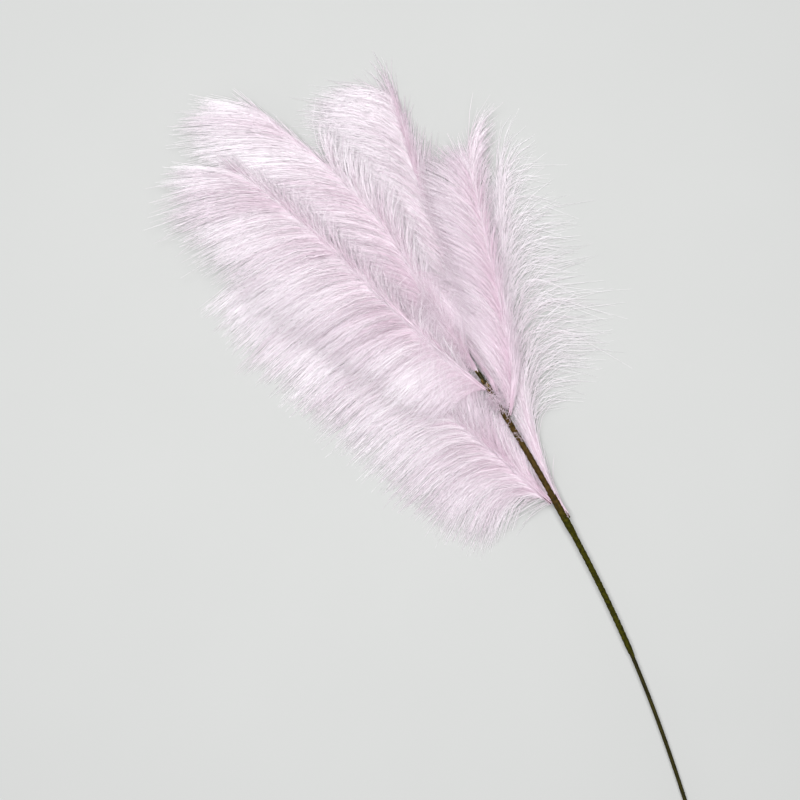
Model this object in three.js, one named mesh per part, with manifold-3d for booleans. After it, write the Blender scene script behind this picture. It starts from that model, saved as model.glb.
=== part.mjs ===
// A spray of artificial pampas grass, lying on a table: a wire stem, the tape that binds its head,
// and six plumes, each a thin quill with locks of fibre along it. Millimetres, +Z up, +Y from the
// cut end of the stem to the tips of the plumes, and the table is the plane z = 0.
import * as THREE from "three";
import { mergeVertices } from "three/addons/utils/BufferGeometryUtils.js";
import Module from "manifold-3d";

const wasm = await Module();
wasm.setup();

// Driving dimensions of the stem and the tape
const STEM_RADIUS = 2.0;
const STEM_PATH = [
  [-79, -553, 2.1],
  [-4, -228, 17],
  [26, -149, 33],
  [14, 181, 48],
];
const TAPE_RADIUS = 2.9;
const TAPE_LENGTH = 322;
const TAPE_BELOW_TOP = 4;
const CLEARANCE = 0.3;
const SOCKET_LENGTH = 14;
const SOCKET_FOOT_WALL = 0.9;
const SOCKET_MOUTH_WALL = 0.5;
const SOCKET_FLOOR = 1.0;

// Driving dimensions of a quill and of a lock of fibre
const QUILL_RADIUS = 1.2;
const QUILL_END_RADIUS = 0.5;
const LOCK_WIDTH = 28;
const LOCK_THICKNESS = 6;
const LOCK_LIFT = 1.6;
// Shares: a lock's fullness at its root, the skew of its fullest place towards the root, how far it
// leans from the quill to its end as it leaves, where it bends, and how far it has dropped by then
const LOCK_ROOT = 0.2;
const LOCK_SKEW = 0.8;
const LOCK_LEAN = 0.3;
const LOCK_BEND = 0.5;
const LOCK_DROP = 0.3;

// Facets
const STEM_SIDES = 8;
const STEM_STEPS = 26;
const TAPE_STEPS = 14;
const QUILL_SIDES = 5;
const QUILL_STEPS = 12;
const SOCKET_STEPS = 3;
const LOCK_SIDES = 4;
const LOCK_STEPS = 4;

const COLOURS = {
  stem: { color: "#3a3a12", roughness: 0.55, metalness: 0 },
  tape: { color: "#4a3a1c", roughness: 0.85, metalness: 0 },
  fibre: { color: "#ecd6e6", roughness: 0.75, metalness: 0 },
};

// The plumes. joint is how far below the stem's top the quill is bound on, and bearing is the side of
// the stem it is on, in degrees from the right over the top. path holds the quill's two handles and
// its end. A fringe is one row of locks: span is the stretch of the quill that they grow on, in shares
// of the quill's length, and hem is the line that their ends reach.
const PLUMES = [
  {
    name: "plume_low_left",
    joint: 150,
    bearing: 180,
    path: [[-23, 148, 40], [-69, 256, 30], [-102, 367, 14]],
    fringes: [
      {
        count: 12,
        span: [0.08, 0.985],
        hem: [
          [-78, 22, 1], [-100, 66, 1], [-122, 118, 1], [-155, 230, 1], [-186, 314, 1], [-190, 376, 1],
        ],
      },
      { count: 3, span: [0.3, 0.8], hem: [[-24, 214, 34], [-64, 294, 24], [-118, 420, 4]] },
    ],
  },
  {
    name: "plume_left",
    joint: 18,
    bearing: 140,
    path: [[-31, 267, 76], [-45, 374, 82], [-91, 471, 44]],
    fringes: [
      {
        count: 12,
        span: [0.08, 0.985],
        hem: [
          [-50, 162, 46], [-84, 206, 48], [-113, 274, 46], [-160, 369, 44], [-176, 468, 38], [-150, 512, 36],
        ],
      },
      { count: 2, span: [0.5, 0.82], hem: [[-44, 388, 72], [-86, 486, 54]] },
    ],
  },
  {
    name: "plume_terminal",
    joint: 9,
    bearing: -90,
    path: [[-1, 349, 64], [26, 343, 62], [-44, 513, 30]],
    fringes: [
      {
        count: 11,
        span: [0.1, 0.985],
        hem: [[-52, 284, 44], [-82, 390, 36], [-110, 486, 28], [-118, 544, 26], [-86, 554, 26]],
      },
      { count: 2, span: [0.46, 0.78], hem: [[26, 412, 56], [-4, 516, 40]] },
    ],
  },
  {
    name: "plume_top",
    joint: 34,
    bearing: -50,
    path: [[44, 251, 34], [48, 355, 26], [79, 457, 12]],
    fringes: [
      {
        count: 11,
        span: [0.12, 0.96],
        hem: [[12, 284, 10], [2, 396, 2], [-8, 464, 1], [10, 512, 1], [46, 524, 1]],
      },
      { count: 3, span: [0.5, 0.985], hem: [[74, 400, 10], [92, 464, 4], [88, 520, 1]] },
    ],
  },
  {
    name: "plume_right",
    joint: 52,
    bearing: 20,
    path: [[58, 177, 58], [84, 288, 54], [108, 360, 36]],
    fringes: [
      { count: 7, span: [0.16, 0.95], hem: [[28, 221, 50], [41, 293, 44], [58, 372, 38], [116, 390, 34]] },
      { count: 5, span: [0.2, 0.985], hem: [[66, 210, 48], [86, 268, 44], [116, 340, 36], [159, 401, 32]] },
    ],
  },
  {
    name: "plume_low_right",
    joint: 170,
    bearing: 0,
    path: [[9, 87, 30], [80, 247, 22], [122, 324, 10]],
    fringes: [
      {
        count: 12,
        span: [0.28, 0.985],
        hem: [
          [110, 128, 1], [150, 148, 1], [160, 170, 1], [172, 237, 1],
          [189, 275, 1], [190, 330, 1], [184, 380, 1],
        ],
      },
      { count: 2, span: [0.6, 0.85], hem: [[78, 254, 12], [114, 334, 4]] },
    ],
  },
];

const UP = new THREE.Vector3(0, 0, 1);
const vector = (point) => new THREE.Vector3(...point);
const mix = THREE.MathUtils.lerp;

// The stretch of a curve between two shares of its length
class Stretch extends THREE.Curve {
  constructor(base, from, to) {
    super();
    Object.assign(this, { base, from, to });
  }
  getPoint(t) {
    return this.base.getPointAt(mix(this.from, this.to, t));
  }
}

// A closed solid swept along a curve. halfWidth is level and halfHeight is across it, each a function
// of the share of the length, and a pointed sweep ends in a tip.
function sweep(curve, sides, steps, halfWidth, halfHeight = halfWidth, pointed = false) {
  const geometry = new THREE.CylinderGeometry(pointed ? 0 : 1, 1, 1, sides, steps);
  const place = geometry.attributes.position;
  for (let i = 0; i < place.count; i++) {
    const t = place.getY(i) + 0.5;
    const unit = pointed && t < 1 ? 1 - t : 1;
    const tangent = curve.getTangentAt(t);
    const level = tangent.clone().cross(UP).normalize();
    const across = level.clone().cross(tangent);
    const at = curve
      .getPointAt(t)
      .addScaledVector(level, (place.getX(i) / unit) * halfWidth(t))
      .addScaledVector(across, (place.getZ(i) / unit) * halfHeight(t));
    place.setXYZ(i, at.x, at.y, at.z);
  }
  return geometry;
}

function solid(geometry) {
  geometry.deleteAttribute("normal");
  geometry.deleteAttribute("uv");
  const merged = mergeVertices(geometry);
  const vertProperties = merged.attributes.position.array;
  const triVerts = new Uint32Array(merged.index.array);
  return new wasm.Manifold(new wasm.Mesh({ numProp: 3, vertProperties, triVerts }));
}

function geometryOf(shape) {
  const { vertProperties, triVerts } = shape.getMesh();
  const geometry = new THREE.BufferGeometry();
  geometry.setAttribute("position", new THREE.BufferAttribute(vertProperties, 3));
  geometry.setIndex(new THREE.BufferAttribute(triVerts, 1));
  geometry.computeVertexNormals();
  return geometry;
}

const stemCurve = new THREE.CubicBezierCurve3(...STEM_PATH.map(vector));
const stemLength = stemCurve.getLength();

// The quill's curve, which starts beside the stem where the tape binds it
function quillCurve({ joint, bearing, path }) {
  const share = 1 - joint / stemLength;
  const right = stemCurve.getTangentAt(share).cross(UP).normalize();
  const angle = THREE.MathUtils.degToRad(bearing);
  const offset = STEM_RADIUS + QUILL_RADIUS + 2 * CLEARANCE;
  const root = stemCurve
    .getPointAt(share)
    .addScaledVector(right, offset * Math.cos(angle))
    .addScaledVector(UP, offset * Math.sin(angle));
  return new THREE.CubicBezierCurve3(root, ...path.map(vector));
}

const quillRadius = (t) => mix(QUILL_RADIUS, QUILL_END_RADIUS, t);

// The lock's curve: it leaves the quill along it and turns over to its end
function lockCurve(quill, at, end, lift) {
  const root = quill.getPointAt(at);
  const straight = end.clone().sub(root);
  const reach = straight.length();
  const leaving = quill.getTangentAt(at).lerp(straight.normalize(), LOCK_LEAN).normalize();
  const bend = root.clone().addScaledVector(leaving, reach * LOCK_BEND);
  bend.z = mix(root.z, end.z, LOCK_DROP) + lift;
  return new THREE.QuadraticBezierCurve3(root, bend, end);
}

// A lock is a flat blade: narrow where it leaves the quill, full in its middle, and pointed
function lockSolid(curve) {
  const fullness = (t) => mix(LOCK_ROOT, 1, Math.sin(Math.PI * t ** LOCK_SKEW));
  const halfWidth = (t) => (LOCK_WIDTH / 2) * fullness(t);
  const halfHeight = (t) => (LOCK_THICKNESS / 2) * fullness(t);
  return solid(sweep(curve, LOCK_SIDES, LOCK_STEPS, halfWidth, halfHeight, true));
}

function plumeSolid(plume) {
  const quill = quillCurve(plume);
  const bound = new Stretch(quill, SOCKET_FLOOR / quill.getLength(), 1);
  let shape = solid(sweep(bound, QUILL_SIDES, QUILL_STEPS, quillRadius));
  for (const { count, span, hem } of plume.fringes) {
    const ends = new THREE.CatmullRomCurve3(hem.map(vector));
    for (let i = 0; i < count; i++) {
      const share = i / (count - 1);
      const lift = i % 2 ? LOCK_LIFT : 0;
      const curve = lockCurve(quill, mix(...span, share), ends.getPointAt(share), lift);
      shape = shape.add(lockSolid(curve));
    }
  }
  return shape;
}

// The tape is a sleeve on the head of the stem, with a short socket round the root of each quill
function tapeSolid() {
  const top = 1 - TAPE_BELOW_TOP / stemLength;
  const sleeve = new Stretch(stemCurve, top - TAPE_LENGTH / stemLength, top);
  let shape = solid(sweep(sleeve, STEM_SIDES, TAPE_STEPS, () => TAPE_RADIUS));
  const quills = PLUMES.map(quillCurve);
  for (const quill of quills) {
    const root = new Stretch(quill, 0, SOCKET_LENGTH / quill.getLength());
    const radius = (t) => QUILL_RADIUS + mix(SOCKET_FOOT_WALL, SOCKET_MOUTH_WALL, t);
    shape = shape.add(solid(sweep(root, QUILL_SIDES, SOCKET_STEPS, radius)));
  }
  const bore = () => STEM_RADIUS + CLEARANCE;
  shape = shape.subtract(solid(sweep(stemCurve, STEM_SIDES, STEM_STEPS, bore)));
  for (const quill of quills) {
    const pocket = new Stretch(quill, (SOCKET_FLOOR - CLEARANCE) / quill.getLength(), 1);
    const radius = (t) => quillRadius(t) + CLEARANCE;
    shape = shape.subtract(solid(sweep(pocket, QUILL_SIDES, QUILL_STEPS, radius)));
  }
  return shape;
}

function piece(name, geometry, finish) {
  const mesh = new THREE.Mesh(geometry, new THREE.MeshStandardMaterial(finish));
  mesh.name = name;
  return mesh;
}

const spray = new THREE.Group();
spray.add(piece("stem", sweep(stemCurve, STEM_SIDES, STEM_STEPS, () => STEM_RADIUS), COLOURS.stem));
spray.add(piece("binding_tape", geometryOf(tapeSolid()), COLOURS.tape));
for (const plume of PLUMES) {
  spray.add(piece(plume.name, geometryOf(plumeSolid(plume)), COLOURS.fibre));
}

export default spray;
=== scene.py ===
"""A spray of artificial pampas grass on a pale floor: wire stem, wound tape and six fibre plumes."""
import math

import bpy
import numpy as np
from mathutils import Matrix, Vector


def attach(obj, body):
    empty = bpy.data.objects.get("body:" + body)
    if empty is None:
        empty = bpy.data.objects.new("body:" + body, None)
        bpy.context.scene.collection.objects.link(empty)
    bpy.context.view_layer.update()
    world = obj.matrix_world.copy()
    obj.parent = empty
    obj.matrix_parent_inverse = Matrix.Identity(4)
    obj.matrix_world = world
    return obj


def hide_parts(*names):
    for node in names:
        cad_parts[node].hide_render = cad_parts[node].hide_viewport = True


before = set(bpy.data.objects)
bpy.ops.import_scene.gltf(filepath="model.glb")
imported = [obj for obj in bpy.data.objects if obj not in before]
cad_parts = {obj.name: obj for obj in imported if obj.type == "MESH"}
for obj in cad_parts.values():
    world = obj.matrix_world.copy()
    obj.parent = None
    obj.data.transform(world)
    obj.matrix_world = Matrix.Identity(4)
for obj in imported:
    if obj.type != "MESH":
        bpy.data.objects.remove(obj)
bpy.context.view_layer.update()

bl_info = {
    "name": "Pampas grass spray",
    "version": (1, 0, 0),
    "blender": (4, 5, 0),
    "location": "View3D > Sidebar > Pampas",
    "description": "Builds an artificial pampas grass stem around its CAD frame",
    "category": "Object",
}

MM = 0.001
BODY = "root"
UP = np.array([0.0, 0.0, 1.0])

# The stem's curve and the plumes, in millimetres, as the solids have them.
# Of a plume, joint is how far below the stem's top its quill is bound on, bearing the side of the stem
# it is on, in degrees from the right over the top, and path the quill's two handles and its end. pale
# is how white the fibres are at its foot and at its end, from 0 to 1, and full how many it has next to
# the others. hug is the part of them that lie close along the quill, and hug_span the stretch of the
# quill that they are on. fluff is the number of loose ones caught in the tape by its foot, and how far
# along the stem they are spread.
# A fringe is one row of fibres. part is its part of the plume's fibres, span the stretch of the quill
# that they grow on, in shares of its length, hem the line that their tips reach, and follow how far
# they keep to the quill's direction before they sweep out, as a share of their reach. Where they are
# given, lean is how far they lean to their tips as they leave the quill, loose and wild are how far the
# tips of a tuft and the tufts themselves stray next to the usual, gap is how far apart the tufts are
# next to the usual, and fan is the share of the hem that a tuft is spread over.
STEM_PATH = [(-79, -553, 2.1), (-4, -228, 17), (26, -149, 33), (14, 181, 48)]
PLUMES = {
    "plume_low_left": {
        "joint": 150, "bearing": 180, "path": [(-23, 148, 40), (-69, 256, 30), (-102, 367, 14)],
        "pale": (0.0, 0.2), "full": 1.05, "hug": 0.1, "hug_span": (0.0, 0.97), "fluff": (0, 0),
        "fringes": [
            {
                "part": 0.003, "span": (0.0, 0.04), "follow": 0.4, "lean": 0.8, "gap": 0.5,
                "pale": (0.9, 0.9), "hem": [(-38, 30, 2), (-30, 44, 4)],
            },
            {
                "part": 0.08, "span": (0.01, 0.1), "follow": 0.6, "lean": 0.2, "loose": 0.6, "fan": 0.3,
                "pale": (0.6, 0.6), "hem": [(-74, 20, 1), (-100, 66, 1), (-104, 78, 1)],
            },
            {
                "part": 0.52, "span": (0.08, 0.97), "follow": 0.46, "lean": 0.3, "loose": 0.5,
                "pale": (0.55, 0.75),
                "hem": [(-102, 72, 1), (-122, 118, 1), (-155, 230, 1), (-186, 314, 1), (-188, 376, 1)],
            },
            {
                "part": 0.14, "span": (0.3, 0.97), "follow": 0.5, "pale": (0.1, 0.4),
                "hem": [(-20, 214, 32), (-40, 244, 30), (-69, 313, 22), (-122, 424, 4)],
            },
            {
                "part": 0.16, "span": (0.0, 0.4), "follow": 0.6, "fan": 0.5, "pale": (0.1, 0.3),
                "hem": [(16, 100, 34), (15, 156, 38), (10, 198, 40), (-24, 228, 34)],
            },
        ],
    },
    "plume_left": {
        "joint": 18, "bearing": 140, "path": [(-31, 267, 76), (-45, 374, 82), (-91, 471, 44)],
        "pale": (0.1, 0.3), "full": 1.05, "hug": 0.08, "hug_span": (0.0, 0.97), "fluff": (20, 5),
        "fringes": [
            {
                "part": 0.65, "span": (0.0, 0.96), "follow": 0.38, "lean": 0.45, "pale": (0.45, 0.65),
                "hem": [(-50, 162, 46), (-84, 206, 48), (-113, 274, 46), (-160, 369, 44), (-176, 468, 38),
                        (-150, 512, 36)],
            },
            {
                "part": 0.1, "span": (0.05, 0.97), "follow": 0.6, "loose": 1.4, "pale": (0.2, 0.4),
                "hem": [(2, 210, 56), (-6, 272, 66), (-38, 384, 74), (-98, 504, 46)],
            },
            {
                "part": 0.12, "span": (0.0, 0.25), "follow": 0.5, "fan": 1.0, "pale": (0.1, 0.2),
                "hem": [(-16, 128, 44), (-40, 160, 46), (-44, 200, 52), (-14, 254, 62)],
            },
        ],
    },
    "plume_terminal": {
        "joint": 9, "bearing": -90, "path": [(-1, 349, 64), (26, 343, 62), (-44, 513, 30)],
        "pale": (0.0, 0.6), "full": 1.0, "hug": 0.1, "hug_span": (0.034, 0.97), "fluff": (0, 0),
        "fringes": [
            {
                "part": 0.6, "span": (0.036, 0.99), "follow": 0.4, "lean": 0.4, "loose": 0.8,
                "pale": (0.0, 1.0),
                "hem": [(-52, 284, 44), (-82, 390, 36), (-113, 480, 30), (-126, 520, 27), (-118, 544, 26),
                        (-86, 554, 26)],
            },
            {
                "part": 0.11, "span": (0.04, 0.7), "follow": 0.6, "pale": (0.1, 0.9),
                "hem": [(26, 232, 54), (24, 290, 60), (30, 390, 58), (4, 484, 44)],
            },
            {
                "part": 0.19, "span": (0.036, 0.35), "follow": 0.35, "fan": 1.0, "pale": (0.0, 0.1),
                "hem": [(-16, 188, 50), (-22, 212, 56), (-16, 244, 60), (6, 276, 60), (36, 272, 54),
                        (42, 240, 50), (34, 212, 50)],
            },
        ],
    },
    "plume_top": {
        "joint": 34, "bearing": -50, "path": [(44, 251, 34), (48, 355, 26), (79, 457, 12)],
        "pale": (0.0, 0.1), "full": 1.0, "hug": 0.12, "hug_span": (0.0, 0.62), "fluff": (300, 5),
        "fringes": [
            {
                "part": 0.55, "span": (0.03, 0.99), "follow": 0.42, "lean": 0.3, "pale": (0.4, 0.95),
                "hem": [(12, 284, 10), (2, 396, 2), (-8, 464, 1), (-6, 486, 1), (4, 502, 1), (42, 499, 1)],
            },
            {
                "part": 0.13, "span": (0.03, 0.97), "follow": 0.5, "pale": (0.0, 0.2),
                "hem": [(70, 290, 24), (86, 360, 12), (88, 390, 10), (83, 440, 6), (81, 490, 1)],
            },
            {
                "part": 0.008, "span": (0.84, 0.99), "follow": 0.6, "loose": 1.5, "pale": (0.0, 0.3),
                "hem": [(76, 500, 1), (84, 510, 1), (88, 502, 1)],
            },
            {
                "part": 0.15, "span": (0.0, 0.35), "follow": 0.5, "fan": 1.0, "pale": (0.0, 0.1),
                "hem": [(13, 262, 40), (40, 300, 42), (62, 280, 42), (60, 240, 42)],
            },
        ],
    },
    "plume_right": {
        "joint": 52, "bearing": 20, "path": [(58, 177, 58), (84, 288, 54), (108, 360, 36)],
        "pale": (0.0, 0.1), "full": 0.75, "hug": 0.12, "hug_span": (0.0, 0.85), "fluff": (70, 22),
        "fringes": [
            {
                "part": 0.52, "span": (0.03, 0.92), "follow": 0.55, "loose": 0.7, "pale": (0.0, 0.25),
                "hem": [(28, 221, 50), (41, 293, 44), (51, 352, 40), (64, 383, 36), (92, 392, 34),
                        (114, 386, 34)],
            },
            {
                "part": 0.18, "span": (0.0, 0.95), "follow": 0.6, "pale": (0.0, 0.2),
                "hem": [(41, 156, 46), (56, 184, 48), (72, 214, 46), (92, 266, 42), (114, 324, 36),
                        (130, 362, 34), (150, 391, 32)],
            },
            {
                "part": 0.05, "span": (0.8, 0.99), "follow": 0.6, "wild": 2.5, "pale": (0.1, 0.5),
                "hem": [(112, 396, 34), (130, 384, 34), (160, 404, 32)],
            },
            {
                "part": 0.16, "span": (0.0, 0.3), "follow": 0.35, "fan": 1.0, "pale": (0.0, 0.1),
                "hem": [(27, 205, 48), (28, 240, 50), (48, 236, 50), (66, 210, 46)],
            },
        ],
    },
    "plume_low_right": {
        "joint": 170, "bearing": 0, "path": [(9, 87, 30), (80, 247, 22), (122, 324, 10)],
        "pale": (0.25, 1.0), "full": 0.6, "hug": 0.2, "hug_span": (0.0, 0.9), "fluff": (0, 0),
        "fringes": [
            {
                "part": 0.14, "span": (0.2, 0.99), "follow": 0.8, "loose": 1.6, "wild": 3.6, "gap": 5.0,
                "fan": 0.4, "pale": (0.9, 1.3),
                "hem": [(108, 128, 1), (144, 150, 1), (152, 166, 2), (156, 205, 3), (163, 237, 2),
                        (171, 275, 1), (169, 330, 1), (168, 376, 1)],
            },
            {
                "part": 0.16, "span": (0.4, 0.97), "follow": 0.5, "pale": (0.4, 1.0),
                "hem": [(58, 210, 20), (80, 256, 14), (126, 356, 4)],
            },
            {
                "part": 0.28, "span": (0.0, 0.45), "follow": 0.5, "fan": 0.4, "pale": (0.2, 0.6),
                "hem": [(20, 92, 26), (36, 150, 24), (62, 214, 20)],
            },
        ],
    },
}

# How far a fibre usually leans to its tip as it leaves the quill, and has dropped where it bends
LEAN, DROP = 0.1, 0.28
# Tufts: how far their aim strays, less so in height, how much of the way to the hem they reach, and how
# their paleness drifts between a few places along the fringe, and from one tuft to the next
TUFT_AIM, TUFT_FLAT = 2.2 * MM, (1, 1, 0.4)
TUFT_REACH = (0.88, 1.03)
PALE_DRIFT, PALE_PLACES, PALE_TUFT = 0.25, 9, 0.1
# Fibres of a tuft: how far apart their roots are next to the tufts, how far round the quill they turn,
# how flat the scatter of their tips is, and their shortest, usual and longest reach
FIBRE_APART, FIBRE_TURN, FIBRE_FLAT = 0.6, 0.9, (1, 1, 0.25)
FIBRE_REACH = (0.5, 1.0, 1.15)
# How the paleness of the fibres varies, in a fringe, close along the quill and in the tape
FIBRE_PALE, HUG_PALE, FLUFF_PALE = 0.24, 0.12, 0.1
# The share of fibres that stray, and how far next to the others
STRAYS, STRAY = 0.04, 2.5
# How much of the loft is left at the tip, round the quill and over it
TIP_ROUND, TIP_OVER = 0.4, 0.6
# How far bends and fibres keep off the floor
BEND_CLEAR, FLOOR_CLEAR = 0.4 * MM, 0.15 * MM
# A fibre's rings, as shares of its length, its girth at each, and its sides
RINGS = np.array([0.0, 0.22, 0.46, 0.72, 1.0])
GIRTH = np.array([1.0, 1.0, 1.0, 0.9, 0.4])
SIDES = 3
# Half the width of a fibre's strip on its map, the depth of its ends there, and the corners that give
# the quills their colour
MAP_HALF, MAP_END = 0.001, 0.004
QUILL_SPOTS = (0.05, 0.6, 0.06, 0.6, 0.06, 0.61)

# Sockets of a colour mix: its share, its two colours and its result
SHARE, FIRST, SECOND, MIXED = 0, 6, 7, 2

# Where the middle of the picture meets the floor in millimetres, and the lamp from there in metres
PICTURE_MIDDLE = (-67, 196, 0)
LAMP_FROM_MIDDLE = (-0.09, 0.12, 2.8)


def linear(text):
    """An sRGB hex colour as linear red, green and blue"""
    shares = [int(text[i:i + 2], 16) / 255 for i in (1, 3, 5)]
    return tuple(s / 12.92 if s <= 0.04045 else ((s + 0.055) / 1.055) ** 2.4 for s in shares)


class StemSettings(bpy.types.PropertyGroup):
    wire_diameter: bpy.props.FloatProperty(
        name="Wire diameter", description="Width of the bare stem", default=4 * MM, unit="LENGTH")
    quill_diameter: bpy.props.FloatProperty(
        name="Quill diameter", description="Width of a quill at its root", default=2.4 * MM, unit="LENGTH")
    tape_length: bpy.props.FloatProperty(
        name="Taped length", description="Length of stem under tape", default=322 * MM, unit="LENGTH")
    tape_pitch: bpy.props.FloatProperty(
        name="Tape pitch", description="Advance of the tape in one turn", default=7 * MM, unit="LENGTH")
    tape_width: bpy.props.FloatProperty(
        name="Tape width", description="Width of the tape along the stem", default=11 * MM, unit="LENGTH")
    # The wire's two streak colours are lit and shaded copies of its olive skin: painted highlight and
    # painted shade
    wire_dark: bpy.props.FloatVectorProperty(
        name="Wire, dark", description="Shaded streaks of the wire's skin",
        subtype="COLOR", default=linear("#171501"))
    wire_light: bpy.props.FloatVectorProperty(
        name="Wire, light", description="Lighter streaks of the wire's skin",
        subtype="COLOR", default=linear("#2e2a05"))
    tape_green: bpy.props.FloatVectorProperty(
        name="Tape, lower", description="Tape below the plumes",
        subtype="COLOR", default=linear("#282702"))
    tape_brown: bpy.props.FloatVectorProperty(
        name="Tape, upper", description="Tape among the plumes",
        subtype="COLOR", default=linear("#35280f"))
    # The colour of the lighter olive streaks near the stem's top
    tape_streaks: bpy.props.FloatVectorProperty(
        name="Tape, worn", description="Rubbed streaks at the tape's end",
        subtype="COLOR", default=linear("#7d693a"))


class PlumeSettings(bpy.types.PropertyGroup):
    fibres: bpy.props.IntProperty(
        name="Fibres", description="Fibres in each plume", default=6500, min=100, max=7000)
    fibre_diameter: bpy.props.FloatProperty(
        name="Fibre diameter", description="Width of one fibre", default=0.4 * MM, unit="LENGTH")
    tuft_spacing: bpy.props.FloatProperty(
        name="Tuft spacing", description="Distance between tufts along a quill",
        default=1.7 * MM, unit="LENGTH")
    loft: bpy.props.FloatProperty(
        name="Loft", description="How far the fibres stand round the quill", default=5 * MM, unit="LENGTH")
    scatter: bpy.props.FloatProperty(
        name="Tip scatter", description="Spread of the tips in one tuft", default=4.5 * MM, unit="LENGTH")
    # The root colours are darker than the tip colours: partly the dye, partly painted shade of the dense
    # core along the quill
    deep_root: bpy.props.FloatVectorProperty(
        name="Deep root", description="Root of the pinkest fibres",
        subtype="COLOR", default=linear("#bda2b3"))
    deep_tip: bpy.props.FloatVectorProperty(
        name="Deep tip", description="Tip of the pinkest fibres",
        subtype="COLOR", default=linear("#d7c7d3"))
    pale_root: bpy.props.FloatVectorProperty(
        name="Pale root", description="Root of the palest fibres",
        subtype="COLOR", default=linear("#dbd2d9"))
    pale_tip: bpy.props.FloatVectorProperty(
        name="Pale tip", description="Tip of the palest fibres",
        subtype="COLOR", default=linear("#f8f4f8"))
    seed: bpy.props.IntProperty(name="Seed", description="Start of the scatter", default=7)


class StageSettings(bpy.types.PropertyGroup):
    floor_colour: bpy.props.FloatVectorProperty(
        name="Floor", description="Colour of the floor",
        subtype="COLOR", default=linear("#a8a9a8"))
    floor_size: bpy.props.FloatProperty(
        name="Floor size", description="Length of the floor's side", default=8.0, unit="LENGTH")
    camera_height: bpy.props.FloatProperty(
        name="Camera height", description="Height of the camera over the floor", default=2.0, unit="LENGTH")
    camera_turn: bpy.props.FloatProperty(
        name="Camera turn", description="Turn of the picture about the vertical",
        default=math.radians(-30), subtype="ANGLE")
    view_width: bpy.props.FloatProperty(
        name="View width", description="Width that the picture takes in", default=0.8, unit="LENGTH")
    lamp_size: bpy.props.FloatProperty(
        name="Lamp size", description="Length of the lamp's side", default=0.7, unit="LENGTH")
    lamp_power: bpy.props.FloatProperty(
        name="Lamp power", description="Power of the lamp", default=121, unit="POWER")
    surround: bpy.props.FloatProperty(
        name="Surround", description="Strength of the light from all round", default=0.37)


def add_node(material, kind, inputs=(), **settings):
    """Adds a node to a material, sets its settings, and sets or links its inputs"""
    made = material.node_tree.nodes.new(kind)
    for name, value in settings.items():
        setattr(made, name, value)
    for socket, value in dict(inputs).items():
        if isinstance(value, bpy.types.NodeSocket):
            material.node_tree.links.new(value, made.inputs[socket])
        else:
            made.inputs[socket].default_value = value
    return made


def start_material(name):
    """A new material with no nodes"""
    material = bpy.data.materials.new(name)
    material.use_nodes = True
    material.node_tree.nodes.clear()
    return material


def finish_material(material, shader):
    """Links a material's shader to its output"""
    add_node(material, "ShaderNodeOutputMaterial", {"Surface": shader.outputs[0]})
    return material


def rgba(colour):
    """A linear colour with full cover"""
    return (*colour, 1.0)


def fibre_material(settings):
    """Dyed polyester fibre: pink and close at the root, whiter and more open to the light at the tip. The
    roots' darker colour is partly the dye and partly painted shade of the close-packed core along the
    quill.
    """
    material = start_material("dyed_polyester_fibre")
    place = add_node(material, "ShaderNodeUVMap", uv_map="OFBake")
    split = add_node(material, "ShaderNodeSeparateXYZ", {0: place.outputs["UV"]})
    # Root to tip the colour pales: partly the dye, partly painted shade of the close-packed fibres by the
    # quill
    tipward = add_node(
        material, "ShaderNodeMapRange", {"Value": split.outputs["X"], "From Min": 0.2, "From Max": 0.95},
        interpolation_type="SMOOTHSTEP")
    deep = add_node(
        material, "ShaderNodeMix",
        {SHARE: tipward.outputs[0], FIRST: rgba(settings.deep_root), SECOND: rgba(settings.deep_tip)},
        data_type="RGBA")
    pale = add_node(
        material, "ShaderNodeMix",
        {SHARE: tipward.outputs[0], FIRST: rgba(settings.pale_root), SECOND: rgba(settings.pale_tip)},
        data_type="RGBA")
    colour = add_node(
        material, "ShaderNodeMix",
        {SHARE: split.outputs["Y"], FIRST: deep.outputs[MIXED], SECOND: pale.outputs[MIXED]},
        data_type="RGBA")
    shader = add_node(
        material, "ShaderNodeBsdfPrincipled",
        {"Base Color": colour.outputs[MIXED], "Roughness": 0.6, "IOR": 1.5, "Sheen Weight": 0.3})
    return finish_material(material, shader)


def wire_material(settings):
    """Moulded polyethylene skin on wire: dark olive with faint lengthwise streaks of painted highlight and
    painted shade, and a satin gloss
    """
    material = start_material("moulded_polyethylene_skin")
    place = add_node(material, "ShaderNodeTexCoord")
    # Streaks about 1.5 mm wide and 40 mm long: painted highlight and painted shade along the wire
    stretch = add_node(
        material, "ShaderNodeMapping",
        {"Vector": place.outputs["Object"], "Scale": (1 / (1.5 * MM), 1 / (40 * MM), 1 / (1.5 * MM))})
    streaks = add_node(
        material, "ShaderNodeTexNoise", {"Vector": stretch.outputs[0], "Scale": 1.0, "Detail": 3.0})
    share = add_node(
        material, "ShaderNodeMapRange", {"Value": streaks.outputs[0], "From Min": 0.35, "From Max": 0.7})
    colour = add_node(
        material, "ShaderNodeMix",
        {SHARE: share.outputs[0], FIRST: rgba(settings.wire_dark), SECOND: rgba(settings.wire_light)},
        data_type="RGBA")
    rough = add_node(
        material, "ShaderNodeMapRange", {"Value": streaks.outputs[0], "To Min": 0.35, "To Max": 0.6})
    bump = add_node(
        material, "ShaderNodeBump", {"Height": streaks.outputs[0], "Strength": 0.3, "Distance": 0.2 * MM})
    shader = add_node(
        material, "ShaderNodeBsdfPrincipled",
        {"Base Color": colour.outputs[MIXED], "Roughness": rough.outputs[0], "Normal": bump.outputs[0],
         "Specular IOR Level": 0.1})
    return finish_material(material, shader)


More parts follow.
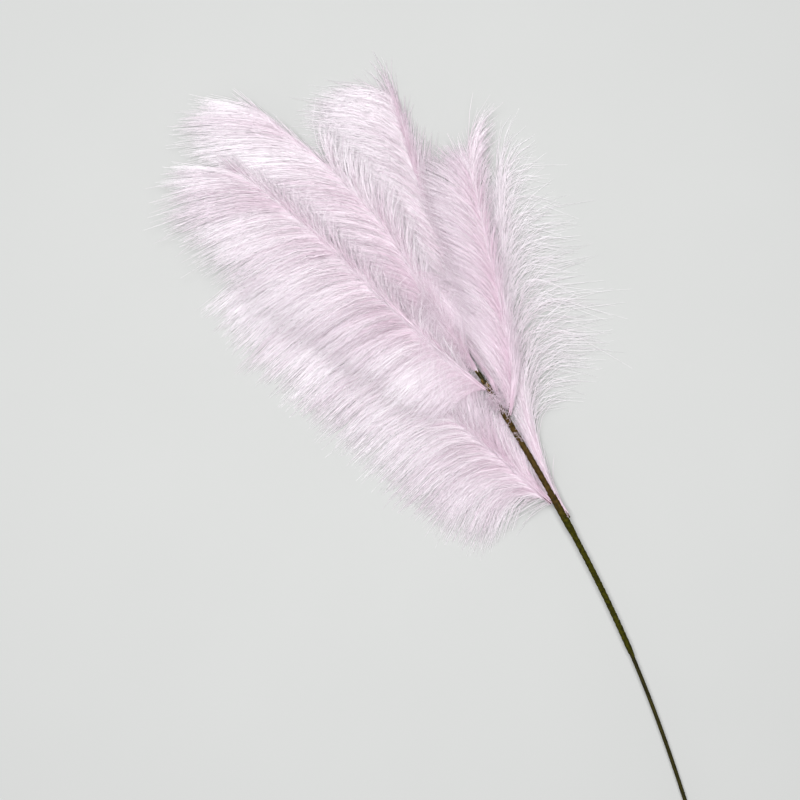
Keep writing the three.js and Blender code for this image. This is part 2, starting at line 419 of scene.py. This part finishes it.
def tape_material(settings):
    """Crepe paper floral tape: waxy, matt, finely ribbed across its length, green below and brown above"""
    material = start_material("crepe_floral_tape")
    place = add_node(material, "ShaderNodeTexCoord")
    split = add_node(material, "ShaderNodeSeparateXYZ", {0: place.outputs["Object"]})
    # The tape turns brown over 30 mm at the two lowest joints
    upper = add_node(
        material, "ShaderNodeMapRange",
        {"Value": split.outputs["Y"], "From Min": 5 * MM, "From Max": 35 * MM},
        interpolation_type="SMOOTHSTEP")
    base = add_node(
        material, "ShaderNodeMix",
        {SHARE: upper.outputs[0], FIRST: rgba(settings.tape_green), SECOND: rgba(settings.tape_brown)},
        data_type="RGBA")
    # Blotches about 3 mm across
    blotch = add_node(
        material, "ShaderNodeTexNoise",
        {"Vector": place.outputs["Object"], "Scale": 1 / (3 * MM), "Detail": 4.0, "Roughness": 0.65})
    shade = add_node(
        material, "ShaderNodeMapRange",
        {"Value": blotch.outputs[0], "From Min": 0.3, "From Max": 0.7, "To Min": 0.3, "To Max": 2.0})
    mottled = add_node(
        material, "ShaderNodeMix",
        {SHARE: 1.0, FIRST: base.outputs[MIXED], SECOND: shade.outputs[0]},
        data_type="RGBA", blend_type="MULTIPLY")
    # Lighter olive streaks about 1.2 mm wide and 25 mm long, over about the last 20 mm below the stem's top
    stretch = add_node(
        material, "ShaderNodeMapping",
        {"Vector": place.outputs["Object"], "Scale": (1 / (1.2 * MM), 1 / (25 * MM), 1 / (1.2 * MM))})
    streaks = add_node(
        material, "ShaderNodeTexNoise", {"Vector": stretch.outputs[0], "Scale": 1.0, "Detail": 2.0})
    streak_mask = add_node(
        material, "ShaderNodeMapRange", {"Value": streaks.outputs[0], "From Min": 0.48, "From Max": 0.58})
    end = add_node(
        material, "ShaderNodeMapRange",
        {"Value": split.outputs["Y"], "From Min": 158 * MM, "From Max": 166 * MM})
    streaked = add_node(
        material, "ShaderNodeMath", {0: streak_mask.outputs[0], 1: end.outputs[0]}, operation="MULTIPLY")
    colour = add_node(
        material, "ShaderNodeMix",
        {SHARE: streaked.outputs[0], FIRST: mottled.outputs[MIXED], SECOND: rgba(settings.tape_streaks)},
        data_type="RGBA")
    # Crepe ribs, drawn coarser than the paper's own so that they show: this scale sets them 1.14 mm apart
    rib_scale = 275.0
    ribs = add_node(
        material, "ShaderNodeTexWave",
        {"Vector": place.outputs["Object"], "Scale": rib_scale, "Distortion": 2.0}, bands_direction="Y")
    bump = add_node(
        material, "ShaderNodeBump", {"Height": ribs.outputs[1], "Strength": 0.4, "Distance": 0.15 * MM})
    shader = add_node(
        material, "ShaderNodeBsdfPrincipled",
        {"Base Color": colour.outputs[MIXED], "Roughness": 0.75, "Normal": bump.outputs[0],
         "Specular IOR Level": 0.06})
    return finish_material(material, shader)


def floor_material(settings):
    """Matt painted board: an even pale grey with the faintest roller mottle"""
    material = start_material("matt_painted_board")
    place = add_node(material, "ShaderNodeTexCoord")
    # Mottles about 150 mm across
    mottle = add_node(
        material, "ShaderNodeTexNoise",
        {"Vector": place.outputs["Object"], "Scale": 1 / (150 * MM), "Detail": 2.0})
    shade = add_node(
        material, "ShaderNodeMapRange", {"Value": mottle.outputs[0], "To Min": 0.985, "To Max": 1.015})
    colour = add_node(
        material, "ShaderNodeMix",
        {SHARE: 1.0, FIRST: rgba(settings.floor_colour), SECOND: shade.outputs[0]},
        data_type="RGBA", blend_type="MULTIPLY")
    shader = add_node(
        material, "ShaderNodeBsdfPrincipled",
        {"Base Color": colour.outputs[MIXED], "Roughness": 0.9, "Specular IOR Level": 0.1})
    return finish_material(material, shader)


def bezier(points, count=97):
    """Points along a cubic Bezier curve, in metres from millimetres"""
    t = np.linspace(0, 1, count)[:, None]
    a, b, c, d = np.array(points, float) * MM
    return (1 - t) ** 3 * a + 3 * (1 - t) ** 2 * t * b + 3 * (1 - t) * t ** 2 * c + t ** 3 * d


def lengths(route):
    """The length of a route up to each of its points"""
    return np.concatenate([[0], np.cumsum(np.linalg.norm(np.diff(route, axis=0), axis=1))])


def at(route, share):
    """The places on a route at shares of its length"""
    reach = lengths(route)
    return np.stack([np.interp(share * reach[-1], reach, axis) for axis in route.T], -1)


def unit(vectors):
    """Vectors scaled to a length of one"""
    return vectors / np.linalg.norm(vectors, axis=-1, keepdims=True)


def heading(route, share, step=0.01):
    """The direction of a route at shares of its length"""
    return unit(at(route, np.minimum(share + step, 1)) - at(route, np.maximum(share - step, 0)))


def stem_share(below_top):
    """The stem's route, and the share of its length at some millimetres below its top"""
    route = bezier(STEM_PATH)
    return route, 1 - below_top * MM / lengths(route)[-1]


def quill_points(plume, settings):
    """The quill's Bezier points in millimetres: its root lies beside the stem where it is bound on"""
    stem, share = stem_share(plume["joint"])
    right = unit(np.cross(heading(stem, share), UP))
    angle = math.radians(plume["bearing"])
    clear = 0.6 * MM
    offset = settings.wire_diameter / 2 + settings.quill_diameter / 2 + clear
    root = at(stem, share) + offset * (right * math.cos(angle) + UP * math.sin(angle))
    return [tuple(root / MM), *plume["path"]]


def deselect():
    """Leaves nothing selected"""
    bpy.ops.object.select_all(action="DESELECT")


def add_path(name, points):
    """A Bezier curve object through its two ends, from four points in millimetres"""
    deselect()
    bpy.ops.curve.primitive_bezier_curve_add(location=(0, 0, 0))
    path = bpy.context.object
    path.name = name
    path.data.dimensions = "3D"
    path.data.resolution_u = 48
    first, last = path.data.splines[0].bezier_points
    start, leave, arrive, end = (Vector(p) * MM for p in points)
    for point in (first, last):
        point.handle_left_type = point.handle_right_type = "FREE"
    first.co, first.handle_right, first.handle_left = start, leave, start * 2 - leave
    last.co, last.handle_left, last.handle_right = end, arrive, end * 2 - arrive
    return path


def round_rod(name, points, diameter, end_share=1.0):
    """A round rod along a curve, closed at both ends, as a mesh"""
    rod = add_path(name, points)
    rod.data.bevel_depth = diameter / 2
    rod.data.bevel_resolution = 4
    rod.data.use_fill_caps = True
    rod.data.splines[0].bezier_points[1].radius = end_share
    bpy.ops.object.convert(target="MESH")
    clean()
    return bpy.context.object


def clean():
    """Merges doubles and turns faces outwards on the active object, and shades it smooth"""
    bpy.ops.object.mode_set(mode="EDIT")
    bpy.ops.mesh.select_all(action="SELECT")
    bpy.ops.mesh.remove_doubles(threshold=0.01 * MM)
    bpy.ops.mesh.normals_make_consistent(inside=False)
    bpy.ops.object.mode_set(mode="OBJECT")
    bpy.ops.object.shade_smooth_by_angle(angle=math.radians(40))


def dress(piece, node, material):
    """Gives a finished piece its material, and puts it in place of its solid"""
    piece.data.materials.clear()
    piece.data.materials.append(material)
    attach(piece, BODY)
    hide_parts(node)


def wind_tape(name, points, start, length, radius, width, pitch):
    """Tape wound round a curve in overlapping turns: a strip on edge, screwed, thickened and bent"""
    rise, thickness, steps = 0.6 * MM, 0.2 * MM, 14
    path = add_path(name + "_path", points)
    deselect()
    bpy.ops.mesh.primitive_plane_add(size=1)
    tape = bpy.context.object
    tape.name = name
    bpy.ops.object.mode_set(mode="EDIT")
    bpy.ops.mesh.select_all(action="SELECT")
    bpy.ops.mesh.merge(type="CENTER")
    bpy.ops.mesh.extrude_region_move(TRANSFORM_OT_translate={"value": (rise, width, 0)})
    bpy.ops.mesh.select_all(action="SELECT")
    bpy.ops.transform.translate(value=(radius, start, 0))
    bpy.ops.object.mode_set(mode="OBJECT")
    turns = max(1, round((length - width) / pitch))
    screw = tape.modifiers.new("turns", "SCREW")
    screw.axis = "Y"
    screw.steps = screw.render_steps = steps
    screw.iterations = turns
    screw.screw_offset = pitch
    thick = tape.modifiers.new("thickness", "SOLIDIFY")
    thick.thickness = thickness
    thick.offset = 0
    bend = tape.modifiers.new("bend", "CURVE")
    bend.object = path
    bend.deform_axis = "POS_Y"
    for modifier in ("turns", "thickness", "bend"):
        bpy.ops.object.modifier_apply(modifier=modifier)
    clean()
    bpy.data.objects.remove(path)
    return tape


class PAMPAS_OT_stem(bpy.types.Operator):
    """Add the plastic-skinned wire stem"""
    bl_idname = "pampas.stem"
    bl_label = "Stem"

    def execute(self, context):
        settings = context.scene.pampas_stem
        stem = round_rod("wire_stem", STEM_PATH, settings.wire_diameter)
        dress(stem, "stem", wire_material(settings))
        return {"FINISHED"}


class PAMPAS_OT_tape(bpy.types.Operator):
    """Wind the tape round the stem's head and the roots of the quills"""
    bl_idname = "pampas.tape"
    bl_label = "Binding tape"

    def execute(self, context):
        settings = context.scene.pampas_stem
        whole = lengths(bezier(STEM_PATH))[-1]
        width, pitch = settings.tape_width, settings.tape_pitch
        below_top, clear = 4 * MM, 0.4 * MM
        start = whole - below_top - settings.tape_length
        radius = settings.wire_diameter / 2 + clear
        wound = [wind_tape("stem_tape", STEM_PATH, start, settings.tape_length, radius, width, pitch)]
        # A second layer over the two lowest joints
        low, high = whole - 191 * MM, whole - 137 * MM
        outer = radius + 0.7 * MM
        wound.append(wind_tape("joint_tape", STEM_PATH, low, high - low, outer, width, pitch))
        # A collar of narrower turns round each quill's root, which starts a little before it
        before, collar, collar_width, collar_pitch = 1.5 * MM, 14 * MM, width / 2.5, pitch / 3
        around = settings.quill_diameter / 2 + 0.3 * MM
        for name, plume in PLUMES.items():
            quill = quill_points(plume, settings)
            wound.append(
                wind_tape(name + "_tape", quill, -before, collar, around, collar_width, collar_pitch))
        deselect()
        for piece in wound:
            piece.select_set(True)
        context.view_layer.objects.active = wound[0]
        bpy.ops.object.join()
        dress(context.object, "binding_tape", tape_material(settings))
        return {"FINISHED"}


def tuft_fibres(rng, quill, fringe, count, settings):
    """Roots, bends and tips of one fringe's fibres, gathered in tufts, with their paleness"""
    first, last = fringe["span"]
    hem = np.array(fringe["hem"], float) * MM
    tufts = int((last - first) * lengths(quill)[-1] / settings.tuft_spacing / fringe.get("gap", 1))
    tuft = rng.integers(tufts, size=count)
    tuft_share = (np.arange(tufts) + rng.uniform(size=tufts)) / tufts
    tuft_aim = rng.normal(0, TUFT_AIM * fringe.get("wild", 1), (tufts, 3)) * TUFT_FLAT
    tuft_reach = rng.uniform(*TUFT_REACH, tufts)
    tuft_loft = rng.uniform(0, 1, tufts)
    tuft_turn = rng.uniform(0, 2 * math.pi, tufts)
    drift = rng.uniform(-PALE_DRIFT, PALE_DRIFT, PALE_PLACES)
    tuft_pale = np.interp(tuft_share, np.linspace(0, 1, PALE_PLACES), drift)
    tuft_pale += rng.normal(0, PALE_TUFT, tufts)
    share = np.clip(tuft_share[tuft] + rng.normal(0, FIBRE_APART / tufts, count), 0, 1)
    along_hem = np.clip(tuft_share[tuft] + fringe.get("fan", 0) * rng.uniform(-0.5, 0.5, count), 0, 1)
    on_quill = first + (last - first) * share
    root = at(quill, on_quill)
    along = heading(quill, on_quill)
    around = round_about(along, tuft_turn[tuft] + rng.normal(0, FIBRE_TURN, count))
    loose = fringe.get("loose", 1)
    stray = np.where(rng.uniform(size=count) < STRAYS, STRAY, 1)[:, None]
    tip = at(hem, along_hem) + tuft_aim[tuft]
    tip += rng.normal(0, settings.scatter * loose, (count, 3)) * FIBRE_FLAT * stray
    reach = tuft_reach[tuft] * rng.triangular(*FIBRE_REACH, count)
    straight = (tip - root) * reach[:, None]
    tip = root + straight + around * settings.loft * TIP_ROUND
    tip[:, 2] += tuft_loft[tuft] * settings.loft * TIP_OVER
    distance = np.linalg.norm(straight, axis=1, keepdims=True)
    lean = fringe.get("lean", LEAN)
    leave = unit(along * (1 - lean) + unit(straight) * lean)
    bend = root + leave * distance * fringe["follow"] + around * settings.loft
    bend += rng.normal(0, settings.scatter * loose / 2, (count, 3))
    level = root[:, 2] + DROP * straight[:, 2] + (tuft_loft[tuft] + around[:, 2]) * settings.loft
    bend[:, 2] = np.maximum(level, BEND_CLEAR)
    shade = np.interp(on_quill, (0, 1), fringe["pale"]) + tuft_pale[tuft]
    shade += rng.normal(0, FIBRE_PALE, count)
    return root + around * settings.fibre_diameter, bend, tip, shade


def hug_fibres(rng, quill, plume, count, settings):
    """Roots, bends and tips of the fibres that lie close along the quill, with their paleness"""
    first, last = plume["hug_span"]
    # More of them grow near the foot than near the end
    crowding = 1.6
    share = first + (last - first) * rng.uniform(0, 1, count) ** crowding
    along = heading(quill, share)
    around = round_about(along, rng.uniform(0, 2 * math.pi, count))
    # A plume that is bound on top of the stem has none between its foot and the stem
    foot = 0.15
    outward = quill[0] - at(*stem_share(plume["joint"]))
    inner = (around @ outward < 0) & (share < foot) & (outward[2] > 0)
    around[inner] *= -1
    # Over the foot they lie on the tape's collar
    collar, past_collar, over_collar = 12 * MM, 25 * MM, 2.2 * MM
    clear = np.interp(
        share * lengths(quill)[-1], (collar, past_collar), (over_collar, settings.fibre_diameter))
    root = at(quill, share) + around * clear[:, None]
    shortest, longest = 25 * MM, 60 * MM
    reach = rng.uniform(shortest, longest, (count, 1))
    # They part from the quill by a share of the loft, and less near the foot
    least, most, at_foot, past_foot = 0.2, 1.2, 0.3, 0.2
    parting = np.interp(share, (0, past_foot), (at_foot, 1))
    spread = rng.uniform(least, most, (count, 1)) * parting[:, None]
    tip = root + along * reach + around * spread * settings.loft
    half_way, bulge = 0.5, 0.3
    bend = root + along * reach * half_way + around * settings.loft * bulge
    shade = np.interp(share, (0, 1), plume["pale"]) + rng.normal(0, HUG_PALE, count)
    return root, bend, tip, shade


def fluff_fibres(rng, plume, wire_diameter):
    """Roots, bends and tips of the short loose fibres caught in the tape, with their paleness"""
    count, spread = plume["fluff"]
    stem, share = stem_share(plume["joint"] + rng.normal(0, spread, count))
    out = round_about(heading(stem, share), rng.uniform(0, 2 * math.pi, count))
    tape = 1.2 * MM
    root = at(stem, share) + out * (wire_diameter / 2 + tape)
    # They stand off the stem, curl every way, and lie more over it than under it
    off, curl, tip_curl, over, tip_over = 3 * MM, 4 * MM, 5 * MM, 2 * MM, 2.5 * MM
    bend = root + out * off + rng.normal(0, curl, (count, 3)) + UP * over
    tip = root + rng.normal(0, tip_curl, (count, 3)) + UP * tip_over
    return root, bend, tip, plume["pale"][0] + rng.normal(0, FLUFF_PALE, count)


def round_about(along, turn):
    """A direction at right angles to each heading, turned round it by an angle from the level"""
    side = unit(np.cross(along, UP))
    return side * np.cos(turn)[:, None] + np.cross(side, along) * np.sin(turn)[:, None]


def fibre_mesh(name, rng, root, bend, tip, shade, diameter):
    """One mesh of closed tapering fibres. Its map runs from root to tip, and across it by paleness."""
    count, rings = len(root), len(RINGS)
    t = RINGS[None, :, None]
    middle = (1 - t) ** 2 * root[:, None] + 2 * (1 - t) * t * bend[:, None] + t ** 2 * tip[:, None]
    run = unit((1 - t) * (bend - root)[:, None] + t * (tip - bend)[:, None])
    level = unit(np.cross(run, UP))
    across = np.cross(run, level)
    roll = rng.uniform(0, 2 * math.pi, (count, 1, 1, 1))
    turn = roll + (2 * math.pi * np.arange(SIDES) / SIDES)[:, None]
    out = level[:, :, None] * np.cos(turn) + across[:, :, None] * np.sin(turn)
    # Fibres that reach the floor lie on it
    middle[..., 2] = np.maximum(middle[..., 2], diameter / 2 + FLOOR_CLEAR)
    places = middle[:, :, None] + out * (diameter / 2 * GIRTH)[:, None, None]

    # One fibre's faces and their map: the walls first, then the two ends
    faces, spots = [], []
    strip = np.linspace(-MAP_HALF, MAP_HALF, SIDES + 1)
    for k in range(SIDES):
        n = (k + 1) % SIDES
        for r in range(rings - 1):
            a, b = r * SIDES, (r + 1) * SIDES
            faces.append((a + k, a + n, b + n, b + k))
            spots += [(RINGS[r], strip[k]), (RINGS[r], strip[k + 1]),
                      (RINGS[r + 1], strip[k + 1]), (RINGS[r + 1], strip[k])]
    top = (rings - 1) * SIDES
    faces += [(0, 2, 1), (top, top + 1, top + 2)]
    spots += [(0.0, strip[0]), (MAP_END, strip[1]), (0.0, strip[2])]
    spots += [(1.0, strip[0]), (1 - MAP_END, strip[1]), (1.0, strip[2])]
    sizes = np.array([len(face) for face in faces])
    corners = np.concatenate(faces)

    mesh = bpy.data.meshes.new(name)
    each = rings * SIDES
    mesh.vertices.add(count * each)
    mesh.vertices.foreach_set("co", places.ravel().astype(np.float32))
    mesh.loops.add(count * len(corners))
    indices = corners + each * np.arange(count)[:, None]
    mesh.loops.foreach_set("vertex_index", indices.ravel().astype(np.int32))
    mesh.polygons.add(count * len(faces))
    starts = np.concatenate([[0], np.cumsum(np.tile(sizes, count))[:-1]])
    mesh.polygons.foreach_set("loop_start", starts.astype(np.int32))
    # Flat ends keep the walls' shading from leaning over at root and tip
    mesh.polygons.foreach_set("use_smooth", np.tile(sizes == 4, count))
    mesh.update(calc_edges=True)
    uv = np.tile(np.array(spots), (count, 1, 1))
    uv[..., 1] += shade[:, None]
    mesh.uv_layers.new(name="OFBake").data.foreach_set("uv", uv.ravel().astype(np.float32))
    return mesh


class PAMPAS_OT_plumes(bpy.types.Operator):
    """Grow the six plumes, each a quill with its fibres"""
    bl_idname = "pampas.plumes"
    bl_label = "Plumes"

    def execute(self, context):
        settings = context.scene.pampas_plumes
        stem = context.scene.pampas_stem
        fibre = fibre_material(settings)
        quill_end, shade_limits = 0.42, (0.02, 0.98)
        for number, (name, plume) in enumerate(PLUMES.items()):
            rng = np.random.default_rng([settings.seed, number])
            points = quill_points(plume, stem)
            quill = bezier(points)
            whole = settings.fibres * plume["full"]
            hugging = round(plume["hug"] * whole)
            groups = [
                hug_fibres(rng, quill, plume, hugging, settings),
                fluff_fibres(rng, plume, stem.wire_diameter),
            ]
            for fringe in plume["fringes"]:
                count = round(fringe["part"] * whole)
                groups.append(tuft_fibres(rng, quill, fringe, count, settings))
            root, bend, tip, shade = (np.concatenate(parts) for parts in zip(*groups))
            shade = np.clip(shade, *shade_limits)
            mesh = fibre_mesh(name + "_fibres", rng, root, bend, tip, shade, settings.fibre_diameter)
            fibres = bpy.data.objects.new(name + "_fibres", mesh)
            context.collection.objects.link(fibres)
            rod = round_rod(name + "_quill", points, stem.quill_diameter, quill_end)
            uv = rod.data.uv_layers.new(name="OFBake")
            uv.data.foreach_set("uv", np.resize(QUILL_SPOTS, 2 * len(uv.data)))
            deselect()
            rod.select_set(True)
            fibres.select_set(True)
            context.view_layer.objects.active = fibres
            bpy.ops.object.join()
            dress(fibres, name, fibre)
        return {"FINISHED"}


class PAMPAS_OT_stage(bpy.types.Operator):
    """Add the floor, the soft light and the camera above"""
    bl_idname = "pampas.stage"
    bl_label = "Stage"

    def execute(self, context):
        settings = context.scene.pampas_stage
        deselect()
        bpy.ops.mesh.primitive_plane_add(size=settings.floor_size)
        floor = context.object
        floor.name = "floor"
        floor.data.materials.append(floor_material(settings))

        # The picture's width is taken at about half the height of the spray
        aim = Vector(PICTURE_MIDDLE) * MM
        turn = Matrix.Rotation(settings.camera_turn, 4, "Z")
        level, sensor = 30 * MM, 36
        bpy.ops.object.camera_add()
        camera = context.object
        camera.data.sensor_width = sensor
        camera.data.lens = sensor * (settings.camera_height - level) / settings.view_width
        camera.matrix_world = Matrix.Translation(aim + Vector((0, 0, settings.camera_height))) @ turn
        context.scene.camera = camera

        # A wide soft light from just beside the camera, and an even white surround
        lamp_at = aim + turn @ Vector(LAMP_FROM_MIDDLE)
        bpy.ops.object.light_add(type="AREA", location=lamp_at)
        lamp = context.object
        lamp.rotation_euler = (aim - lamp_at).to_track_quat("-Z", "Y").to_euler()
        lamp.data.size = settings.lamp_size
        lamp.data.energy = settings.lamp_power
        world = bpy.data.worlds.new("studio")
        context.scene.world = world
        world.use_nodes = True
        sky = world.node_tree.nodes["Background"].inputs
        sky["Color"].default_value = (1.0, 1.0, 1.0, 1.0)
        sky["Strength"].default_value = settings.surround
        context.scene.view_settings.view_transform = "Standard"
        # Light passes many times between pale fibres before it is spent
        context.scene.cycles.max_bounces = 16
        context.scene.cycles.diffuse_bounces = 12
        return {"FINISHED"}


class PAMPAS_PT_panel(bpy.types.Panel):
    bl_label = "Pampas grass spray"
    bl_space_type = "VIEW_3D"
    bl_region_type = "UI"
    bl_category = "Pampas"

    def draw(self, context):
        for group, operators in PANEL.items():
            settings = getattr(context.scene, group)
            for name in settings.bl_rna.properties.keys():
                if name not in ("rna_type", "name"):
                    self.layout.prop(settings, name)
            for operator in operators:
                self.layout.operator(operator.bl_idname)


GROUPS = {"pampas_stem": StemSettings, "pampas_plumes": PlumeSettings, "pampas_stage": StageSettings}
PANEL = {
    "pampas_stem": (PAMPAS_OT_stem, PAMPAS_OT_tape),
    "pampas_plumes": (PAMPAS_OT_plumes,),
    "pampas_stage": (PAMPAS_OT_stage,),
}
OPERATORS = tuple(operator for group in PANEL.values() for operator in group)
CLASSES = (*GROUPS.values(), *OPERATORS, PAMPAS_PT_panel)


def register():
    for cls in CLASSES:
        bpy.utils.register_class(cls)
    for name, cls in GROUPS.items():
        setattr(bpy.types.Scene, name, bpy.props.PointerProperty(type=cls))


def unregister():
    for name in GROUPS:
        delattr(bpy.types.Scene, name)
    for cls in reversed(CLASSES):
        bpy.utils.unregister_class(cls)


def main():
    register()
    bpy.ops.pampas.stem()
    bpy.ops.pampas.tape()
    bpy.ops.pampas.plumes()
    bpy.ops.pampas.stage()


if __name__ == "__main__":
    main()
